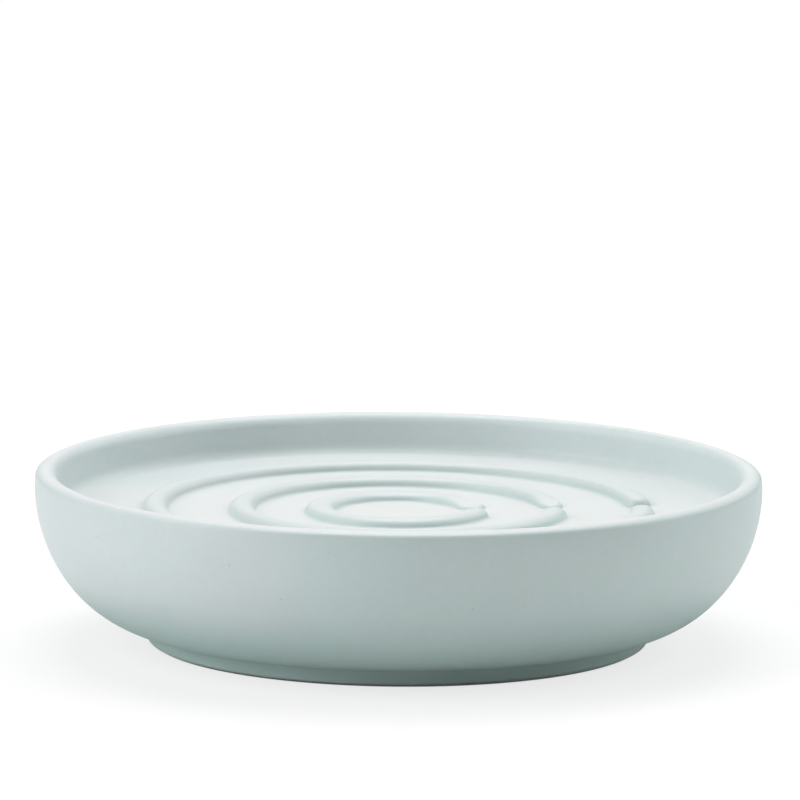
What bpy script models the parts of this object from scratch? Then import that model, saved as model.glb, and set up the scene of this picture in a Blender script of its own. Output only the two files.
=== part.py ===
"""Round stoneware soap dish: a shallow well with three interrupted drain ridges on a low foot ring.

The dish body is one fired piece. Four soft non-slip pads sit in pockets in the underside of its foot.
Units are metres and degrees. +Z is up, and the origin is the centre of the resting plane.
"""
import math

import bmesh
import bpy

# Bowl, seen from outside
BOWL_RADIUS = 0.0600
BOWL_HEIGHT = 0.0286
WALL_FULLNESS = 1.91

# Rim, from its widest place over the sloping land and the crown to the inner wall
WIDEST_DROP = 0.0028
RIM_THICKNESS = 0.0039
RIM_EDGE_WIDTH = 0.0009
RIM_LAND_DROP = 0.0005
RIM_LAND_SLOPE = 12.0
RIM_CROWN_INSET = 0.0026
RIM_CROWN_ROUNDING = 0.0014
RIM_INNER_DROP = 0.0015
RIM_INNER_FULLNESS = 2.2

# Foot ring
FOOT_RADIUS = 0.0414
FOOT_HEIGHT = 0.0030
FOOT_LAND_WIDTH = 0.0080
FOOT_EDGE_RADIUS = 0.0006
FOOT_STEP_FILLET = 0.0008

# Well that holds the soap
FLOOR_HEIGHT = 0.0213
FLOOR_DISH = 0.0008
FLOOR_FILLET = 0.0020
WALL_DRAFT = 0.0004

# Ridges that lift the soap off the floor, and the slot that lets water cross them
OUTER_RIDGE_RADIUS = 0.0402
MIDDLE_RIDGE_RADIUS = 0.0259
INNER_RIDGE_RADIUS = 0.0133
RIDGE_WIDTH = 0.0042
RIDGE_HEIGHT = 0.0016
RIDGE_FULLNESS = 2.3
RIDGE_TOE = 0.0003
RIDGE_END_LENGTH = 0.0021
SLOT_DIRECTION = 3.25
SLOT_WIDTH = 0.0046

# Recess under the floor
FLOOR_THICKNESS = 0.0060
RECESS_DRAFT = 0.0012
RECESS_FILLET = 0.0040

# Non-slip pads
PAD_COUNT = 4
PAD_FIRST_DIRECTION = 45.0
PAD_DIAMETER = 0.0045
PAD_THICKNESS = 0.0010
PAD_STANDOFF = 0.0003
PAD_BEVEL = 0.00015
PAD_CLEARANCE = 0.0003

# Fineness of the round surfaces
TURN_STEPS = 64
BOWL_ARC_STEPS = 11
RIM_STEPS = 4
FILLET_STEPS = 3
RIDGE_STEPS = 8
RIDGE_END_SHARES = (0.0, 0.3, 0.6, 1.0)
LEAST_END_STEP = 0.15
LEAST_EVEN_STEP = 0.3
PAD_STEPS = 24
SMOOTH_ANGLE = 40.0

# Places that follow from the sizes above
FOOT_BOTTOM = PAD_STANDOFF
WIDEST_HEIGHT = BOWL_HEIGHT - WIDEST_DROP
CROWN_RADIUS = BOWL_RADIUS - RIM_CROWN_INSET
WALL_TOP_RADIUS = BOWL_RADIUS - RIM_THICKNESS
WELL_RADIUS = WALL_TOP_RADIUS - WALL_DRAFT
RIDGE_RADII = (OUTER_RIDGE_RADIUS, MIDDLE_RIDGE_RADIUS, INNER_RIDGE_RADIUS)
RECESS_MOUTH_RADIUS = FOOT_RADIUS - FOOT_LAND_WIDTH
RECESS_TOP_RADIUS = RECESS_MOUTH_RADIUS - RECESS_DRAFT
RECESS_TOP_HEIGHT = FLOOR_HEIGHT - FLOOR_THICKNESS
PAD_CIRCLE_RADIUS = FOOT_RADIUS - FOOT_LAND_WIDTH / 2
POCKET_RADIUS = PAD_DIAMETER / 2 + PAD_CLEARANCE
POCKET_TOP_HEIGHT = PAD_THICKNESS + PAD_CLEARANCE


def clear_scene():
    for old in list(bpy.data.objects):
        bpy.data.objects.remove(old, do_unlink=True)


def make_material(name, colour, roughness, metallic=0.0):
    material = bpy.data.materials.new(name)
    material.use_nodes = True
    shader = material.node_tree.nodes["Principled BSDF"]
    shader.inputs["Base Color"].default_value = (*colour, 1.0)
    shader.inputs["Roughness"].default_value = roughness
    shader.inputs["Metallic"].default_value = metallic
    return material


def make_object(name, mesh_builder, material=None):
    mesh = bpy.data.meshes.new(name)
    mesh_builder.to_mesh(mesh)
    mesh_builder.free()
    piece = bpy.data.objects.new(name, mesh)
    bpy.context.collection.objects.link(piece)
    if material:
        mesh.materials.append(material)
        mesh.shade_smooth()
        mesh.set_sharp_from_angle(angle=math.radians(SMOOTH_ANGLE))
    return piece


def arc(centre, half_width, half_height, start, end, steps, fullness=2.0):
    """Points of an arc in the (radius, height) plane: an ellipse at fullness 2 and squarer above it."""
    points = []
    for step in range(steps + 1):
        angle = math.radians(start + (end - start) * step / steps)
        across = math.copysign(abs(math.cos(angle)) ** (2 / fullness), math.cos(angle))
        upwards = math.copysign(abs(math.sin(angle)) ** (2 / fullness), math.sin(angle))
        points.append((centre[0] + half_width * across, centre[1] + half_height * upwards))
    return points


def underside_section():
    """From the recess ceiling down its wall and across the foot's land to the foot's outer side."""
    edge = FOOT_EDGE_RADIUS
    fillet = RECESS_FILLET
    ceiling_centre = (RECESS_TOP_RADIUS - fillet, RECESS_TOP_HEIGHT - fillet)
    ceiling = arc(ceiling_centre, fillet, fillet, 90, 0, FILLET_STEPS)
    mouth = arc((RECESS_MOUTH_RADIUS + edge, FOOT_BOTTOM + edge), edge, edge, 180, 270, FILLET_STEPS)
    outer_edge = arc((FOOT_RADIUS - edge, FOOT_BOTTOM + edge), edge, edge, 270, 360, FILLET_STEPS)
    return ceiling + mouth + outer_edge


def outside_section():
    """From the step above the foot up the curved wall to the widest place."""
    fillet = FOOT_STEP_FILLET
    step = arc((FOOT_RADIUS + fillet, FOOT_HEIGHT - fillet), fillet, fillet, 180, 90, FILLET_STEPS)
    arc_width = BOWL_RADIUS - FOOT_RADIUS
    arc_height = WIDEST_HEIGHT - FOOT_HEIGHT
    arc_start = -math.degrees(math.acos((fillet / arc_width) ** (WALL_FULLNESS / 2)))
    wall_centre = (FOOT_RADIUS, WIDEST_HEIGHT)
    wall = arc(wall_centre, arc_width, arc_height, arc_start, 0, BOWL_ARC_STEPS, WALL_FULLNESS)
    return step[:-1] + wall[:-1]


def rim_section():
    """Over the rounded outer edge, the sloping land and the crown down to the inner wall."""
    edge_centre = (BOWL_RADIUS - RIM_EDGE_WIDTH, WIDEST_HEIGHT)
    edge_height = WIDEST_DROP - RIM_LAND_DROP
    edge = arc(edge_centre, RIM_EDGE_WIDTH, edge_height, 0, 90 - RIM_LAND_SLOPE / 2, RIM_STEPS)
    rounding = RIM_CROWN_ROUNDING
    crown_centre = (CROWN_RADIUS, BOWL_HEIGHT - rounding)
    crown = arc(crown_centre, rounding, rounding, 90 - RIM_LAND_SLOPE, 90, 1)
    inner_centre = (CROWN_RADIUS, BOWL_HEIGHT - RIM_INNER_DROP)
    inner_width = RIM_THICKNESS - RIM_CROWN_INSET
    inner = arc(inner_centre, inner_width, RIM_INNER_DROP, 90, 180, RIM_STEPS, RIM_INNER_FULLNESS)
    return edge + crown[:-1] + inner


def floor_height(radius):
    """The floor is slightly dished: it rises from the centre of the well to its edge."""
    return FLOOR_HEIGHT + FLOOR_DISH * (radius / WELL_RADIUS) ** 2


def well_wall_section():
    """The fillet between the inner wall and the floor."""
    edge_radius = WELL_RADIUS - FLOOR_FILLET
    centre = (edge_radius, floor_height(edge_radius) + FLOOR_FILLET)
    return arc(centre, FLOOR_FILLET, FLOOR_FILLET, 0, -90, FILLET_STEPS + 1)


def ridge_rings(crest_radius):
    """Radius and share of the half width across one ridge, from its outer toe to its inner toe."""
    toe = RIDGE_WIDTH / 2 + RIDGE_TOE
    rings = [(crest_radius + toe, 1.0)]
    for step in range(1, RIDGE_STEPS):
        across = math.cos(math.pi * step / RIDGE_STEPS)
        rings.append((crest_radius + RIDGE_WIDTH / 2 * across, across))
    rings.append((crest_radius - toe, 1.0))
    return rings


def ridge_rise(crest_radius, across, angle):
    """Rise of a ridge above the floor: a full bead with a rounded end on each side of the slot."""
    along = 0.0
    turn = math.radians(angle - SLOT_DIRECTION)
    if math.cos(turn) > 0:
        beside_slot = abs(crest_radius * math.sin(turn)) - SLOT_WIDTH / 2
        along = max(0.0, 1.0 - beside_slot / RIDGE_END_LENGTH)
    out = math.hypot(across, along)
    return RIDGE_HEIGHT * max(0.0, 1.0 - out ** RIDGE_FULLNESS) ** (1 / RIDGE_FULLNESS)


def slot_half_angle(crest_radius, share):
    """Angle between the slot's middle and a place that lies this share along a ridge's rounded end."""
    beside = SLOT_WIDTH / 2 + RIDGE_END_LENGTH * share
    return math.degrees(math.asin(beside / crest_radius))


def is_clear(angle, others, least):
    """Whether an angle is at least so far from all the others, going round the shorter way."""
    return all(abs((angle - other + 180.0) % 360.0 - 180.0) > least for other in others)


def turn_angles():
    """Angles round the dish: quarter turns, the slot, places along the ridge ends, and even steps."""
    step = 360.0 / TURN_STEPS
    angles = [0.0, 90.0, 180.0, 270.0, SLOT_DIRECTION]
    for share in RIDGE_END_SHARES:
        for crest_radius in RIDGE_RADII:
            half_angle = slot_half_angle(crest_radius, share)
            for angle in (SLOT_DIRECTION - half_angle, SLOT_DIRECTION + half_angle):
                if is_clear(angle, angles, step * LEAST_END_STEP):
                    angles.append(angle)
    for count in range(TURN_STEPS):
        if is_clear(step * count, angles, step * LEAST_EVEN_STEP):
            angles.append(step * count)
    return sorted(angle % 360.0 for angle in angles)


def build_dish_blank(material):
    """The body as one closed skin: a ring of points for each point of the section."""
    builder = bmesh.new()
    angles = turn_angles()
    rings = []
    for radius, height in underside_section() + outside_section() + rim_section() + well_wall_section():
        rings.append((radius, [height] * len(angles)))
    for crest_radius in RIDGE_RADII:
        for radius, across in ridge_rings(crest_radius):
            floor = floor_height(radius)
            rings.append((radius, [floor + ridge_rise(crest_radius, across, angle) for angle in angles]))
    loops = []
    for radius, heights in rings:
        loop = []
        for angle, height in zip(angles, heights):
            turn = math.radians(angle)
            loop.append(builder.verts.new((radius * math.cos(turn), radius * math.sin(turn), height)))
        loops.append(loop)
    count = len(angles)
    for lower, upper in zip(loops, loops[1:]):
        for place in range(count):
            after = (place + 1) % count
            builder.faces.new((lower[place], lower[after], upper[after], upper[place]))
    builder.faces.new(list(reversed(loops[0])))
    builder.faces.new(loops[-1])
    return make_object("dish_body", builder, material)


def disc(builder, radius, bottom, top, steps):
    """A closed upright cylinder of the given radius between two heights."""
    rings = []
    for height in (bottom, top):
        ring = []
        for step in range(steps):
            turn = 2 * math.pi * step / steps
            ring.append(builder.verts.new((radius * math.cos(turn), radius * math.sin(turn), height)))
        rings.append(ring)
    for step in range(steps):
        after = (step + 1) % steps
        builder.faces.new((rings[0][step], rings[0][after], rings[1][after], rings[1][step]))
    builder.faces.new(list(reversed(rings[0])))
    builder.faces.new(rings[1])


def pad_places():
    """Name and centre of each pad on the middle of the foot's land."""
    for count in range(PAD_COUNT):
        turn = math.radians(PAD_FIRST_DIRECTION + 360.0 * count / PAD_COUNT)
        centre = (PAD_CIRCLE_RADIUS * math.cos(turn), PAD_CIRCLE_RADIUS * math.sin(turn), 0.0)
        yield f"non_slip_pad_{count + 1}", centre


def cut_pockets(body):
    """A blind round pocket in the foot's land above each pad."""
    for name, centre in pad_places():
        builder = bmesh.new()
        disc(builder, POCKET_RADIUS, -POCKET_TOP_HEIGHT, POCKET_TOP_HEIGHT, PAD_STEPS)
        cutter = make_object(f"{name}_pocket_cutter", builder)
        cutter.location = centre
        cutter.hide_render = True
        cutter.display_type = "WIRE"
        cut = body.modifiers.new(f"{name}_pocket", "BOOLEAN")
        cut.operation = "DIFFERENCE"
        cut.solver = "EXACT"
        cut.object = cutter


def build_pads(material):
    for name, centre in pad_places():
        builder = bmesh.new()
        disc(builder, PAD_DIAMETER / 2, 0.0, PAD_THICKNESS, PAD_STEPS)
        pad = make_object(name, builder, material)
        pad.location = centre
        edge = pad.modifiers.new("soft_edge", "BEVEL")
        edge.width = PAD_BEVEL
        edge.segments = 1
        edge.limit_method = "ANGLE"


def main():
    clear_scene()
    stoneware = make_material("matt_stoneware", (0.59, 0.66, 0.65), 0.45)
    silicone = make_material("grey_silicone", (0.30, 0.31, 0.31), 0.60)
    body = build_dish_blank(stoneware)
    cut_pockets(body)
    build_pads(silicone)


main()
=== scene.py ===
"""Looks of the round stoneware soap dish: fine turned body, soft pads, matt glaze, studio and camera.

Units are metres and degrees. +Z is up, the origin is the centre of the resting plane, and the camera
looks along +Y.
"""
import math

import bmesh
import bpy
from mathutils import Matrix, Vector


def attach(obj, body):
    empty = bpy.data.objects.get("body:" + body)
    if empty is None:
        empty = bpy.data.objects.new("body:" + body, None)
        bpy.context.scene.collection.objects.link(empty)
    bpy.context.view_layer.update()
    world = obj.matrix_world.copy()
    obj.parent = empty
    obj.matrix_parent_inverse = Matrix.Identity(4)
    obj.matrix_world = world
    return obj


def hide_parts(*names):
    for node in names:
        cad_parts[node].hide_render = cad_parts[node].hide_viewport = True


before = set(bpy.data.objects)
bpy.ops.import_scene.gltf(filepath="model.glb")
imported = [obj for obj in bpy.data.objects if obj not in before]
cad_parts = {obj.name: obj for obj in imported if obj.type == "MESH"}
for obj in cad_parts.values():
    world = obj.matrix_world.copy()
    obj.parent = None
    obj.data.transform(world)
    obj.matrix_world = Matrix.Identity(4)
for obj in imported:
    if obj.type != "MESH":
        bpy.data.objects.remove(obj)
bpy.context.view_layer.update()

# Bowl, seen from outside
BOWL_RADIUS = 0.0600
BOWL_HEIGHT = 0.0286
WIDEST_HEIGHT = 0.0258
WALL_FULLNESS = 1.91
RIM_THICKNESS = 0.0038
RIM_CROWN_INSET = 0.0019
RIM_EDGE_RADIUS = 0.0008
RIM_TOP_TURN = 35.0
RIM_EDGE_TURN = 84.0
RIM_INNER_DROP = 0.0020
RIM_INNER_FULLNESS = 2.0

# Foot ring
FOOT_RADIUS = 0.0414
FOOT_BOTTOM = 0.0003
FOOT_HEIGHT = 0.0030
FOOT_LAND_WIDTH = 0.0080
FOOT_EDGE_RADIUS = 0.0006
FOOT_STEP_FILLET = 0.0008

# Well that holds the soap
FLOOR_HEIGHT = 0.0213
FLOOR_DISH = 0.0008
FLOOR_FILLET = 0.0020
WALL_DRAFT = 0.0004

# Ridges and the slot across them
RIDGE_RADII = (0.0402, 0.0259, 0.0133)
RIDGE_WIDTH = 0.0042
RIDGE_INNER_REACHES = (0.0021, 0.0021, 0.0028)
RIDGE_HEIGHTS = (0.0016, 0.0016, 0.0015)
RIDGE_FULLNESS = 2.3
RIDGE_TOE = 0.0003
RIDGE_END_LENGTHS = (0.0021, 0.0028, 0.0024)
RIDGE_FADE_LENGTHS = (0.0040, 0.0100, 0.0080)
RIDGE_FADE_HEIGHTS = (1.0, 0.55, 0.50)
SLOT_DIRECTION = 3.25
SLOT_WIDTH = 0.0046

# Recess under the floor
RECESS_TOP_HEIGHT = 0.0153
RECESS_DRAFT = 0.0012
RECESS_FILLET = 0.0040

# Non-slip pads
PAD_COUNT = 4
PAD_FIRST_DIRECTION = 45.0
PAD_RADIUS = 0.00225
PAD_THICKNESS = 0.0010
PAD_EDGE_RADIUS = 0.0002
POCKET_RADIUS = 0.00255
POCKET_TOP_HEIGHT = 0.0013

# Fineness of the mesh
TURN_STEP = 1.25
SLOT_TURN_STEP = 0.3
SLOT_TURN_SPAN = 21.0
FLAT_STEP = 0.0012
RIDGE_STEPS = 22
WALL_ARC_STEPS = 40
LIP_STEPS = 14
RIM_BEND_STEPS = 9
FILLET_STEPS = 8
PAD_STEPS = 64
SHARP_ANGLE = 50.0

# Glaze colour, with painted light and shade in it: painted shade makes it darker and greener low on the wall,
# painted light from the left makes it warmer on the left, painted light makes the inner wall lighter, and
# painted top light and sheen make level places in the well and on the land paler, less so at one painted
# shadow in the well and on the ridge crests
WALL_COLOUR = (0.557, 0.663, 0.653)
# Painted shade low on the wall: a darker, greener colour towards the foot
LOW_WALL_SHADE_COLOUR = (0.503, 0.645, 0.619)
# Painted light from the left: a lighter, warmer colour on the left side
LEFT_LIGHT_COLOUR = (0.593, 0.665, 0.668)
# Painted light on the inner wall and the inner edge of the rim: a lighter colour there
INNER_WALL_LIGHT_COLOUR = (0.612, 0.692, 0.688)
# Painted top light and sheen: upward-facing places in the well and on the rim's land are paler
TOP_LIGHT_COLOUR = (0.674, 0.690, 0.688)
# Painted shade on the ridge crests: a darker colour in place of the painted top light
CREST_SHADE_COLOUR = (0.600, 0.655, 0.649)
GLAZE_ROUGHNESS = 0.40
ROUGHNESS_SPREAD = 0.03
GLAZE_IOR = 1.38
LOW_WALL_SHADE_SPAN = (0.006, 0.015)
LEFT_LIGHT_SPAN = (-0.024, -0.010)
INNER_SPAN = (0.0530, 0.0545)
INNER_END_SPAN = (0.0566, 0.0576)
INNER_BASE = 0.0220
# How much painted top light and sheen: by how upward a place faces, fading outwards in the well, and
# strongest at the front of the land as a painted highlight
LEVEL_FACING = (0.80, 0.99)
WELL_TOP_LIGHT = (1.0, 0.72)
WELL_TOP_LIGHT_REACH = 0.050
LAND_TOP_LIGHT = (0.95, 0.50)
LAND_TOP_LIGHT_SPAN = (-0.050, 0.010)
# Painted shadow in the back left of the well near the wall: less painted top light there
PAINTED_SHADOW_PLACE = (-0.040, 0.036, 0.022)
PAINTED_SHADOW_SPAN = (0.008, 0.028)
PAINTED_SHADOW_SHARE = 0.35
LAND_START = 0.0555
CREST_SPAN = (0.0221, 0.0231)
CREST_REACH = 0.045

# Mottle and grain of the glaze: features per metre and the spread of lightness
MOTTLE_SCALE = 70.0
MOTTLE_SPREAD = 0.012
GRAIN_SCALE = 900.0
GRAIN_SPREAD = 0.010
RIPPLE_SCALE = 320.0
RIPPLE_DEPTH = 0.000012
GRAIN_DEPTH = 0.000004

# Pinholes: small ones strewn over the glaze, and the few that can be seen
PINHOLE_SCALE = 220.0
PINHOLE_SPAN = (0.030, 0.060)
PINHOLE_DARKNESS = 0.14
STREWN_SHARE = 0.5
PINHOLE_DEPTH = 0.00002
PINHOLE_RADIUS = 0.00028
PINHOLES = (
    (-0.04844, -0.03513, 0.02313),
    (0.01192, -0.05665, 0.01585),
    (-0.02687, -0.05328, 0.02197),
    (-0.01854, -0.05528, 0.01688),
    (0.04316, 0.00703, 0.02179),
    (0.03313, 0.01076, 0.02161),
)

# Bare clay on the land of the foot
CLAY_COLOUR = (0.560, 0.530, 0.470)
CLAY_DARK_COLOUR = (0.430, 0.395, 0.340)
CLAY_ROUGHNESS = 0.80
CLAY_TOP = 0.0007
CLAY_SCALE = 2600.0

# Silicone of the pads
SILICONE_COLOUR = (0.300, 0.310, 0.310)
SILICONE_DARK_COLOUR = (0.255, 0.262, 0.264)
SILICONE_ROUGHNESS = 0.55
SILICONE_SCALE = 1400.0
SILICONE_DEPTH = 0.000008

# Camera fitted to the outline in the photograph
IMAGE_SIZE = 800
SENSOR_WIDTH = 36.0
CAMERA_DISTANCE = 1.5
CAMERA_ELEVATION = 10.803
FOCAL_PIXELS = 9058.5
CAMERA_PAN = -0.0040
CAMERA_TILT = 1.516
CAMERA_ROLL = -0.50

# Lamps: name, place, side length, power in watts
LAMPS = (
    ("top_softbox", (0.0, 0.375, 1.401), 0.9, 10.6),
    ("high_back_softbox", (0.0, 0.725, 1.256), 0.9, 5.1),
    ("right_softbox", (1.173, 0.0, 0.852), 0.9, 5.4),
    ("right_back_softbox", (0.829, 0.829, 0.852), 0.9, 3.7),
    ("left_softbox", (-1.173, 0.0, 0.852), 0.9, 2.7),
    ("left_front_softbox", (-1.063, -0.496, 0.852), 0.9, 7.5),
    ("front_softbox", (0.0, -1.173, 0.852), 0.9, 1.5),
    ("low_left_softbox", (-1.407, 0.0, 0.351), 0.6, 1.5),
    ("low_left_front_softbox", (-1.153, -0.807, 0.351), 0.6, 3.3),
    ("low_back_softbox", (0.0, 1.363, 0.496), 0.8, 1.85),
    ("low_right_softbox", (1.407, 0.0, 0.351), 0.6, 2.8),
)
FLOOR_SHADE = 0.8
FLOOR_WHITE = 0.9
FLOOR_LIFT = 0.75
# Painted shade under the dish: there the camera sees the floor barely lifted and darker than the rest
GAP_LIFT = 0.05
FLOOR_LIFT_SPAN = (0.0402, 0.0406)
FLOOR_SIDE = 6.0

WELL_RADIUS = BOWL_RADIUS - RIM_THICKNESS - WALL_DRAFT
CROWN_RADIUS = BOWL_RADIUS - RIM_CROWN_INSET


def arc(centre, half_width, half_height, start, end, steps, fullness=2.0):
    """Points of an arc in the (radius, height) plane: an ellipse at 2, squarer above it."""
    points = []
    for step in range(steps + 1):
        angle = math.radians(start + (end - start) * step / steps)
        across = math.copysign(abs(math.cos(angle)) ** (2 / fullness), math.cos(angle))
        along = math.copysign(abs(math.sin(angle)) ** (2 / fullness), math.sin(angle))
        points.append((centre[0] + half_width * across, centre[1] + half_height * along))
    return points


def underside_section():
    """From the recess ceiling down its wall and across the foot's land to the foot's outer side."""
    edge = FOOT_EDGE_RADIUS
    fillet = RECESS_FILLET
    mouth_radius = FOOT_RADIUS - FOOT_LAND_WIDTH
    top_radius = mouth_radius - RECESS_DRAFT
    ceiling = arc((top_radius - fillet, RECESS_TOP_HEIGHT - fillet), fillet, fillet, 90, 0, FILLET_STEPS)
    mouth = arc((mouth_radius + edge, FOOT_BOTTOM + edge), edge, edge, 180, 270, FILLET_STEPS)
    outer_edge = arc((FOOT_RADIUS - edge, FOOT_BOTTOM + edge), edge, edge, 270, 360, FILLET_STEPS)
    return ceiling + mouth + outer_edge


def outside_section():
    """From the step above the foot up the curved wall and over the rounded rim to the inner wall."""
    fillet = FOOT_STEP_FILLET
    step = arc((FOOT_RADIUS + fillet, FOOT_HEIGHT - fillet), fillet, fillet, 180, 90, FILLET_STEPS)
    arc_width = BOWL_RADIUS - FOOT_RADIUS
    arc_height = WIDEST_HEIGHT - FOOT_HEIGHT
    arc_start = -math.degrees(math.acos((fillet / arc_width) ** (WALL_FULLNESS / 2)))
    wall_centre = (FOOT_RADIUS, WIDEST_HEIGHT)
    wall = arc(wall_centre, arc_width, arc_height, arc_start, 0, WALL_ARC_STEPS, WALL_FULLNESS)
    return step[:-1] + wall[:-1] + rim_section()


def outer_rim_section():
    """From the widest height up an upright side, round a crisp edge and over the rounded top to the crown."""
    first = math.radians(RIM_TOP_TURN)
    last = math.radians(RIM_EDGE_TURN)
    width = RIM_CROWN_INSET - RIM_EDGE_RADIUS * (math.sin(last) - math.sin(first))
    drop = BOWL_HEIGHT - WIDEST_HEIGHT - RIM_EDGE_RADIUS * (math.cos(first) - math.cos(last))
    side_width = 1 - math.sin(last)
    top_drop = 1 - math.cos(first)
    share = math.sin(first) * math.cos(last) - side_width * top_drop
    top_radius = (width * math.cos(last) - side_width * drop) / share
    side_radius = (math.sin(first) * drop - top_drop * width) / share
    points = [(CROWN_RADIUS, BOWL_HEIGHT)]
    bends = ((top_radius, 0.0, first), (RIM_EDGE_RADIUS, first, last), (side_radius, last, math.pi / 2))
    for radius, start, end in bends:
        corner = points[-1]
        for step in range(1, RIM_BEND_STEPS + 1):
            angle = start + (end - start) * step / RIM_BEND_STEPS
            across = radius * (math.sin(angle) - math.sin(start))
            down = radius * (math.cos(start) - math.cos(angle))
            points.append((corner[0] + across, corner[1] - down))
    return points[::-1]


def rim_section():
    """From the widest height over the rim and its soft inner edge to the inner wall."""
    inner_centre = (CROWN_RADIUS, BOWL_HEIGHT - RIM_INNER_DROP)
    inner_width = RIM_THICKNESS - RIM_CROWN_INSET
    inner = arc(inner_centre, inner_width, RIM_INNER_DROP, 90, 180, LIP_STEPS, RIM_INNER_FULLNESS)
    return outer_rim_section() + inner[1:]


def floor_height(radius):
    """The floor is dished: it rises slightly from the centre to its edge."""
    return FLOOR_HEIGHT + FLOOR_DISH * (radius / WELL_RADIUS) ** 2


def well_wall_section():
    """The fillet between the inner wall and the floor."""
    edge_radius = WELL_RADIUS - FLOOR_FILLET
    centre = (edge_radius, floor_height(edge_radius) + FLOOR_FILLET)
    return arc(centre, FLOOR_FILLET, FLOOR_FILLET, 0, -90, FILLET_STEPS)


def flat_rings(outer, inner):
    """Rings on the plain floor between two radii, both left out."""
    steps = max(1, round((outer - inner) / FLAT_STEP))
    return [(outer + (inner - outer) * step / steps, 1.0, 0) for step in range(1, steps)]


def floor_rings():
    """Radius, share across its ridge and ridge number of each ring on the floor, from its edge inwards."""
    rings = []
    last = WELL_RADIUS - FLOOR_FILLET
    for index, crest in enumerate(RIDGE_RADII):
        outer_toe = crest + RIDGE_WIDTH / 2 + RIDGE_TOE
        rings += flat_rings(last, outer_toe)
        rings.append((outer_toe, 1.0, index))
        for step in range(1, RIDGE_STEPS):
            share = math.cos(math.pi * step / RIDGE_STEPS)
            reach = RIDGE_WIDTH / 2 if share > 0 else RIDGE_INNER_REACHES[index]
            rings.append((crest + reach * share, share, index))
        last = crest - RIDGE_INNER_REACHES[index] - RIDGE_TOE
        rings.append((last, 1.0, index))
    return rings + flat_rings(last, 0.0)


def ridge_rise(radius, turn, across, index):
    """Rise of a ridge above the floor: a full bead with rounded ends, two of which sink towards the slot."""
    along = 0.0
    kept = 1.0
    offset = turn - math.radians(SLOT_DIRECTION)
    if math.cos(offset) > 0:
        beside_slot = abs(RIDGE_RADII[index] * math.sin(offset)) - SLOT_WIDTH / 2
        along = max(0.0, 1.0 - beside_slot / RIDGE_END_LENGTHS[index])
        if math.sin(offset) > 0:
            share = min(1.0, max(0.0, beside_slot / RIDGE_FADE_LENGTHS[index]))
            low = RIDGE_FADE_HEIGHTS[index]
            kept = low + (1 - low) * share * share * (3 - 2 * share)
    out = math.hypot(across, along)
    bead = max(0.0, 1.0 - out ** RIDGE_FULLNESS) ** (1 / RIDGE_FULLNESS)
    return RIDGE_HEIGHTS[index] * kept * bead


def turns():
    """Angles round the dish in radians, close together where the slot cuts the ridges."""
    low = SLOT_DIRECTION - SLOT_TURN_SPAN
    high = SLOT_DIRECTION + SLOT_TURN_SPAN
    angles = []
    angle = low
    while angle < low + 360.0 - 1e-6:
        angles.append(math.radians(angle))
        angle += SLOT_TURN_STEP if angle < high - 1e-6 else TURN_STEP
    return angles


def mesh_object(name, builder):
    mesh = bpy.data.meshes.new(name)
    builder.to_mesh(mesh)
    builder.free()
    piece = bpy.data.objects.new(name, mesh)
    bpy.context.collection.objects.link(piece)
    return piece


def skin(builder, loops):
    for lower, upper in zip(loops, loops[1:]):
        count = len(lower)
        for place in range(count):
            after = (place + 1) % count
            builder.faces.new((lower[place], lower[after], upper[after], upper[place]))


def fan(builder, loop, centre, upwards):
    middle = builder.verts.new(centre)
    count = len(loop)
    for place in range(count):
        after = (place + 1) % count
        pair = (loop[place], loop[after]) if upwards else (loop[after], loop[place])
        builder.faces.new((*pair, middle))


def disc(builder, section, steps):
    """A closed turned piece from a section that runs from its underside to its top."""
    loops = []
    for radius, height in section:
        loop = []
        for step in range(steps):
            turn = 2 * math.pi * step / steps
            loop.append(builder.verts.new((radius * math.cos(turn), radius * math.sin(turn), height)))
        loops.append(loop)
    skin(builder, loops)
    fan(builder, loops[0], (0, 0, section[0][1]), False)
    fan(builder, loops[-1], (0, 0, section[-1][1]), True)


def pad_centres():
    circle = FOOT_RADIUS - FOOT_LAND_WIDTH / 2
    centres = []
    for count in range(PAD_COUNT):
        turn = math.radians(PAD_FIRST_DIRECTION + 360.0 * count / PAD_COUNT)
        centres.append(Vector((circle * math.cos(turn), circle * math.sin(turn), 0.0)))
    return centres


def final_mesh(piece):
    """Replaces a piece's mesh by its evaluated one, with hard edges kept crisp."""
    graph = bpy.context.evaluated_depsgraph_get()
    mesh = bpy.data.meshes.new_from_object(piece.evaluated_get(graph))
    piece.modifiers.clear()
    piece.data = mesh
    mesh.shade_smooth()
    mesh.set_sharp_from_angle(angle=math.radians(SHARP_ANGLE))


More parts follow.
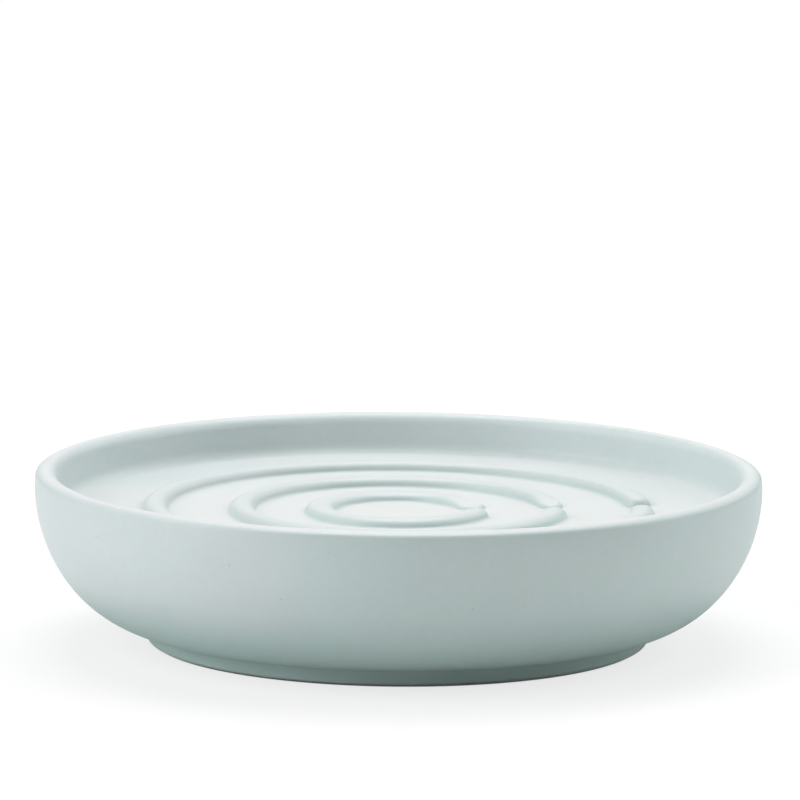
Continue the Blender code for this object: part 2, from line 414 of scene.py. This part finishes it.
def build_dish():
    builder = bmesh.new()
    angles = turns()
    loops = []
    for radius, height in underside_section() + outside_section() + well_wall_section():
        loop = []
        for turn in angles:
            loop.append(builder.verts.new((radius * math.cos(turn), radius * math.sin(turn), height)))
        loops.append(loop)
    for radius, across, index in floor_rings():
        loop = []
        for turn in angles:
            height = floor_height(radius) + ridge_rise(radius, turn, across, index)
            loop.append(builder.verts.new((radius * math.cos(turn), radius * math.sin(turn), height)))
        loops.append(loop)
    skin(builder, loops)
    fan(builder, loops[0], (0, 0, RECESS_TOP_HEIGHT), False)
    fan(builder, loops[-1], (0, 0, FLOOR_HEIGHT), True)
    dish = mesh_object("dish", builder)
    cutters = []
    for centre in pad_centres():
        cutter_builder = bmesh.new()
        section = [(POCKET_RADIUS, -POCKET_TOP_HEIGHT), (POCKET_RADIUS, POCKET_TOP_HEIGHT)]
        disc(cutter_builder, section, PAD_STEPS)
        cutter = mesh_object("pocket_cutter", cutter_builder)
        cutter.location = centre
        cutters.append(cutter)
        cut = dish.modifiers.new("pocket", "BOOLEAN")
        cut.operation = "DIFFERENCE"
        cut.solver = "EXACT"
        cut.object = cutter
    bpy.context.view_layer.update()
    final_mesh(dish)
    for cutter in cutters:
        bpy.data.objects.remove(cutter, do_unlink=True)
    return dish


def build_pad(name, centre):
    edge = PAD_EDGE_RADIUS
    under = arc((PAD_RADIUS - edge, edge), edge, edge, 270, 360, FILLET_STEPS)
    over = arc((PAD_RADIUS - edge, PAD_THICKNESS - edge), edge, edge, 0, 90, FILLET_STEPS)
    builder = bmesh.new()
    disc(builder, under + over, PAD_STEPS)
    pad = mesh_object(name, builder)
    pad.data.shade_smooth()
    pad.location = centre
    return pad


def new_material(name):
    material = bpy.data.materials.new(name)
    material.use_nodes = True
    return material, material.node_tree.nodes["Principled BSDF"]


def plug(material, socket, value):
    """Gives an input a link if the value is a socket, and else the plain value."""
    if isinstance(value, bpy.types.NodeSocket):
        material.node_tree.links.new(value, socket)
    else:
        socket.default_value = value


def calculate(material, operation, first, second):
    node = material.node_tree.nodes.new("ShaderNodeMath")
    node.operation = operation
    plug(material, node.inputs[0], first)
    plug(material, node.inputs[1], second)
    return node.outputs[0]


def ranged(material, value, low, high, start, end):
    """A smooth change from start to end while the value goes from low to high."""
    node = material.node_tree.nodes.new("ShaderNodeMapRange")
    node.interpolation_type = "SMOOTHSTEP"
    plug(material, node.inputs["Value"], value)
    node.inputs["From Min"].default_value = low
    node.inputs["From Max"].default_value = high
    node.inputs["To Min"].default_value = start
    node.inputs["To Max"].default_value = end
    return node.outputs["Result"]


def noise(material, place, scale, detail):
    node = material.node_tree.nodes.new("ShaderNodeTexNoise")
    plug(material, node.inputs["Vector"], place)
    node.inputs["Scale"].default_value = scale
    node.inputs["Detail"].default_value = detail
    return node.outputs["Fac"]


def blend(material, factor, first, second):
    """Colour between two colours, each a socket or three numbers."""
    node = material.node_tree.nodes.new("ShaderNodeMix")
    node.data_type = "RGBA"
    plug(material, node.inputs[0], factor)
    for socket, colour in ((node.inputs[6], first), (node.inputs[7], second)):
        plug(material, socket, (*colour, 1.0) if isinstance(colour, tuple) else colour)
    return node.outputs[2]


def scaled_colour(material, colour, factor):
    """Colour times a grey factor."""
    node = material.node_tree.nodes.new("ShaderNodeVectorMath")
    node.operation = "SCALE"
    plug(material, node.inputs[0], colour)
    plug(material, node.inputs["Scale"], factor)
    return node.outputs["Vector"]


def bump(material, height, depth, below=None):
    """Relief of the given depth in metres, over an earlier relief where there is one."""
    node = material.node_tree.nodes.new("ShaderNodeBump")
    node.inputs["Strength"].default_value = 1.0
    node.inputs["Distance"].default_value = depth
    plug(material, node.inputs["Height"], height)
    if below:
        plug(material, node.inputs["Normal"], below)
    return node.outputs["Normal"]


def object_place(material):
    return material.node_tree.nodes.new("ShaderNodeTexCoord").outputs["Object"]


def split(material, vector):
    node = material.node_tree.nodes.new("ShaderNodeSeparateXYZ")
    plug(material, node.inputs[0], vector)
    return node.outputs


def product(material, *factors):
    result = factors[0]
    for factor in factors[1:]:
        result = calculate(material, "MULTIPLY", result, factor)
    return result


def distance(material, place, centre):
    node = material.node_tree.nodes.new("ShaderNodeVectorMath")
    node.operation = "DISTANCE"
    plug(material, node.inputs[0], place)
    node.inputs[1].default_value = centre
    return node.outputs["Value"]


def radius_of(material, place):
    """Distance from the upright axis of the dish."""
    across, along = split(material, place)[:2]
    square = calculate(material, "ADD", product(material, across, across), product(material, along, along))
    return calculate(material, "POWER", square, 0.5)


def glaze_colour(material, place, facing):
    """Colour by place with painted light and shade: darker and greener low on the wall as painted shade,
    warmer to the left as painted light from the left, lighter on the inner wall as painted light, paler on
    level places in the well and on the land as painted top light and sheen, with painted shadow at one place
    in the well and painted shade on the ridge crests.
    """
    across, along, height = split(material, place)
    radius = radius_of(material, place)
    # Painted light from the left: the left side gets a lighter, warmer colour
    left_light = ranged(material, across, *LEFT_LIGHT_SPAN, 1.0, 0.0)
    # Painted shade low on the wall: darker and greener towards the foot
    low_wall_shade = ranged(material, height, *LOW_WALL_SHADE_SPAN, 1.0, 0.0)
    # Painted light on the inner wall up to the inner edge of the rim
    inner = product(material, ranged(material, radius, *INNER_SPAN, 0.0, 1.0),
                    ranged(material, radius, *INNER_END_SPAN, 1.0, 0.0),
                    ranged(material, height, INNER_BASE, INNER_BASE + 0.0005, 0.0, 1.0))
    # Painted top light in the well, strongest at the centre
    in_well = ranged(material, radius, 0.0, WELL_TOP_LIGHT_REACH, *WELL_TOP_LIGHT)
    # Painted shadow near the back-left wall: it takes away part of the painted top light
    painted_shadow = ranged(material, distance(material, place, PAINTED_SHADOW_PLACE), *PAINTED_SHADOW_SPAN, PAINTED_SHADOW_SHARE, 1.0)
    in_well = product(material, in_well, painted_shadow)
    on_land = product(material, ranged(material, radius, LAND_START - 0.0005, LAND_START, 0.0, 1.0),
                      ranged(material, along, *LAND_TOP_LIGHT_SPAN, *LAND_TOP_LIGHT))
    # Painted top light and sheen on upward-facing places
    level = product(material, ranged(material, facing, *LEVEL_FACING, 0.0, 1.0),
                    calculate(material, "MAXIMUM", in_well, on_land))
    # Painted shade on the ridge crests, over the painted top light
    crest = product(material, ranged(material, height, *CREST_SPAN, 0.0, 1.0),
                    ranged(material, radius, CREST_REACH, CREST_REACH + 0.001, 1.0, 0.0))
    colour = blend(material, left_light, WALL_COLOUR, LEFT_LIGHT_COLOUR)
    colour = blend(material, low_wall_shade, colour, LOW_WALL_SHADE_COLOUR)
    colour = blend(material, inner, colour, INNER_WALL_LIGHT_COLOUR)
    colour = blend(material, level, colour, TOP_LIGHT_COLOUR)
    return blend(material, crest, colour, CREST_SHADE_COLOUR)


def pinholes(material, place):
    """One inside a pinhole and none outside: strewn ones and those at known places."""
    cells = material.node_tree.nodes.new("ShaderNodeTexVoronoi")
    plug(material, cells.inputs["Vector"], place)
    cells.inputs["Scale"].default_value = PINHOLE_SCALE
    holes = ranged(material, cells.outputs["Distance"], *PINHOLE_SPAN, STREWN_SHARE, 0.0)
    for centre in PINHOLES:
        reach = distance(material, place, centre)
        hole = ranged(material, reach, PINHOLE_RADIUS / 2, PINHOLE_RADIUS, 1.0, 0.0)
        holes = calculate(material, "MAXIMUM", holes, hole)
    return holes


def stoneware():
    """Satin matt glaze with faint mottle, grain and pinholes, painted light and shade in its colour, and bare
    clay on the land of the foot.
    """
    material, shader = new_material("matt_stoneware")
    place = object_place(material)
    geometry = material.node_tree.nodes.new("ShaderNodeNewGeometry")
    facing = split(material, geometry.outputs["Normal"])[2]
    height = split(material, place)[2]
    mottle = noise(material, place, MOTTLE_SCALE, 2.0)
    grain = noise(material, place, GRAIN_SCALE, 2.0)
    holes = pinholes(material, place)
    light = ranged(material, mottle, 0.25, 0.75, 1.0 - MOTTLE_SPREAD, 1.0 + MOTTLE_SPREAD)
    fine = ranged(material, grain, 0.25, 0.75, 1.0 - GRAIN_SPREAD, 1.0 + GRAIN_SPREAD)
    light = calculate(material, "MULTIPLY", light, fine)
    shade = ranged(material, holes, 0.0, 1.0, 1.0, 1.0 - PINHOLE_DARKNESS)
    light = calculate(material, "MULTIPLY", light, shade)
    glaze = scaled_colour(material, glaze_colour(material, place, facing), light)
    speckle = noise(material, place, CLAY_SCALE, 3.0)
    clay = blend(material, ranged(material, speckle, 0.35, 0.65, 0.0, 1.0), CLAY_DARK_COLOUR, CLAY_COLOUR)
    bare = calculate(material, "MULTIPLY", ranged(material, height, CLAY_TOP, CLAY_TOP + 0.0002, 1.0, 0.0),
                     ranged(material, facing, -0.95, -0.85, 1.0, 0.0))
    plug(material, shader.inputs["Base Color"], blend(material, bare, glaze, clay))
    smoothest = GLAZE_ROUGHNESS - ROUGHNESS_SPREAD
    roughest = GLAZE_ROUGHNESS + ROUGHNESS_SPREAD
    sheen = ranged(material, mottle, 0.3, 0.7, smoothest, roughest)
    rough = material.node_tree.nodes.new("ShaderNodeMix")
    plug(material, rough.inputs[0], bare)
    plug(material, rough.inputs[2], sheen)
    rough.inputs[3].default_value = CLAY_ROUGHNESS
    plug(material, shader.inputs["Roughness"], rough.outputs[0])
    shader.inputs["IOR"].default_value = GLAZE_IOR
    ripple = bump(material, noise(material, place, RIPPLE_SCALE, 1.0), RIPPLE_DEPTH)
    relief = bump(material, grain, GRAIN_DEPTH, ripple)
    pitted = bump(material, calculate(material, "SUBTRACT", 1.0, holes), PINHOLE_DEPTH, relief)
    plug(material, shader.inputs["Normal"], pitted)
    return material


def silicone():
    """Soft matt silicone with a fine moulded grain and faintly uneven tone."""
    material, shader = new_material("grey_silicone")
    place = object_place(material)
    grain = noise(material, place, SILICONE_SCALE, 2.0)
    tone = blend(material, ranged(material, grain, 0.3, 0.7, 0.0, 1.0), SILICONE_DARK_COLOUR, SILICONE_COLOUR)
    plug(material, shader.inputs["Base Color"], tone)
    plug(material, shader.inputs["Roughness"],
         ranged(material, grain, 0.3, 0.7, SILICONE_ROUGHNESS - 0.05, SILICONE_ROUGHNESS + 0.05))
    plug(material, shader.inputs["Normal"], bump(material, grain, SILICONE_DEPTH))
    return material


def build_floor():
    """A pale floor, lifted towards white where the camera sees it, but not in the gap under the foot, which
    shows as painted shade on top of the real shadow.
    """
    builder = bmesh.new()
    bmesh.ops.create_grid(builder, x_segments=1, y_segments=1, size=FLOOR_SIDE / 2)
    floor = mesh_object("studio_floor", builder)
    material, shader = new_material("pale_floor")
    shader.inputs["Roughness"].default_value = 0.9
    shader.inputs["Specular IOR Level"].default_value = 0.0
    shader.inputs["Emission Color"].default_value = (1.0, 1.0, 1.0, 1.0)
    path = material.node_tree.nodes.new("ShaderNodeLightPath")
    seen = path.outputs["Is Camera Ray"]
    shown = FLOOR_WHITE * (1 - FLOOR_LIFT)
    shade = calculate(material, "SUBTRACT", FLOOR_SHADE, product(material, seen, FLOOR_SHADE - shown))
    plug(material, shader.inputs["Base Color"], shade)
    radius = radius_of(material, object_place(material))
    # Painted shade under the dish: inside FLOOR_LIFT_SPAN the lift drops to GAP_LIFT
    lift = ranged(material, radius, *FLOOR_LIFT_SPAN, GAP_LIFT, FLOOR_LIFT)
    plug(material, shader.inputs["Emission Strength"], product(material, seen, lift))
    floor.data.materials.append(material)


def aim(target, place, towards):
    direction = Vector(towards) - Vector(place)
    target.location = place
    target.rotation_euler = direction.to_track_quat("-Z", "Y").to_euler()


def build_lamps():
    for name, place, side, power in LAMPS:
        light = bpy.data.lights.new(name, "AREA")
        light.shape = "SQUARE"
        light.size = side
        light.energy = power
        lamp = bpy.data.objects.new(name, light)
        bpy.context.collection.objects.link(lamp)
        aim(lamp, place, (0.0, 0.0, 0.01))


def build_world():
    """A backdrop that is white to the camera and gives no light."""
    world = bpy.data.worlds.new("studio")
    bpy.context.scene.world = world
    world.use_nodes = True
    nodes = world.node_tree.nodes
    links = world.node_tree.links
    background = nodes["Background"]
    background.inputs["Color"].default_value = (1.0, 1.0, 1.0, 1.0)
    path = nodes.new("ShaderNodeLightPath")
    links.new(path.outputs["Is Camera Ray"], background.inputs["Strength"])


def build_camera():
    """A long lens that is aimed at the origin, then panned to the left, tilted up and rolled."""
    elevation = math.radians(CAMERA_ELEVATION)
    place = Vector((0.0, -CAMERA_DISTANCE * math.cos(elevation), CAMERA_DISTANCE * math.sin(elevation)))
    forward = -place.normalized()
    right = Vector((1.0, 0.0, 0.0))
    up = right.cross(forward)
    pan = Matrix.Rotation(math.radians(CAMERA_PAN), 3, up)
    forward = pan @ forward
    right = pan @ right
    tilt = Matrix.Rotation(math.radians(CAMERA_TILT), 3, right)
    forward = tilt @ forward
    up = tilt @ up
    roll = Matrix.Rotation(math.radians(CAMERA_ROLL), 3, forward)
    right = roll @ right
    up = roll @ up
    data = bpy.data.cameras.new("camera")
    data.sensor_width = SENSOR_WIDTH
    data.lens = FOCAL_PIXELS * SENSOR_WIDTH / IMAGE_SIZE
    camera = bpy.data.objects.new("camera", data)
    bpy.context.collection.objects.link(camera)
    turn = Matrix((right, up, -forward)).transposed().to_4x4()
    camera.matrix_world = Matrix.Translation(place) @ turn
    bpy.context.scene.camera = camera


def build_part():
    dish = build_dish()
    dish.data.materials.append(stoneware())
    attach(dish, "root")
    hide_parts("dish_body")
    rubber = silicone()
    for count, centre in enumerate(pad_centres(), start=1):
        pad = build_pad(f"pad_{count}", centre)
        pad.data.materials.append(rubber)
        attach(pad, "root")
        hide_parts(f"non_slip_pad_{count}")


build_part()
build_floor()
build_lamps()
build_world()
build_camera()
bpy.context.scene.view_settings.view_transform = "Standard"
